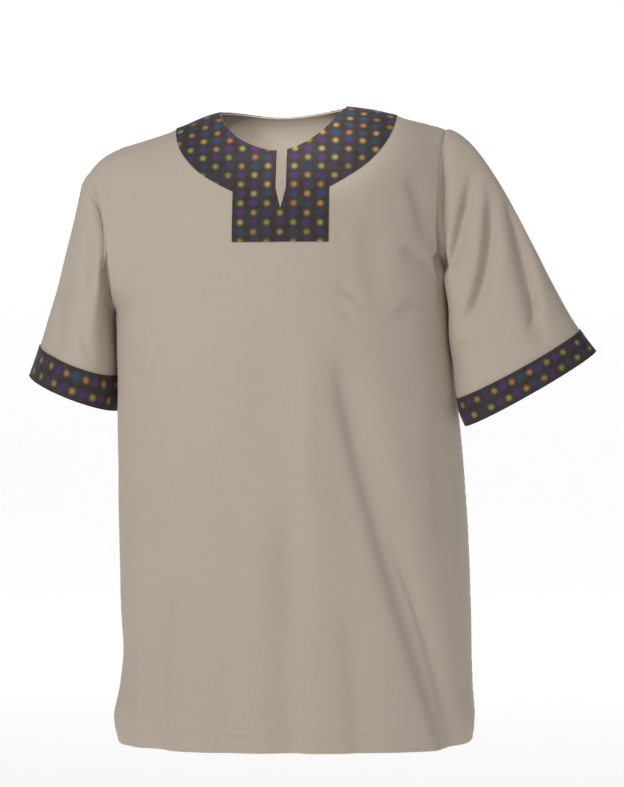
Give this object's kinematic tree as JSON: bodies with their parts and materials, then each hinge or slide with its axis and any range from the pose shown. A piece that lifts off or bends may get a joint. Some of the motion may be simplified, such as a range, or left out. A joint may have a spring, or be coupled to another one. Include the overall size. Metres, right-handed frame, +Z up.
{
  "type": "pullover tunic shirt",
  "caption": "Short-sleeved pullover tunic, filled out as worn, with a flat printed neck yoke, a neck slit and printed sleeve bands.",
  "frame": {"origin": "midway between the two points where the shoulder seams meet the neckline, where the wearer's shoulders hold the shirt", "axes": "+Z up the body to the shoulders, -Y out of the front, +X towards the wearer's left"},
  "size_m": [0.6937, 0.2514, 0.7717],
  "materials": {
    "body_cloth": "matte",
    "printed_trim": "matte"
  },
  "bodies": {
    "root": {"front_panel": "body_cloth", "back_panel": "body_cloth", "sleeve_left": "body_cloth", "sleeve_right": "body_cloth", "yoke_front": "printed_trim", "yoke_back": "printed_trim", "sleeve_band_left": "printed_trim", "sleeve_band_right": "printed_trim"}
  },
  "joints": []
}
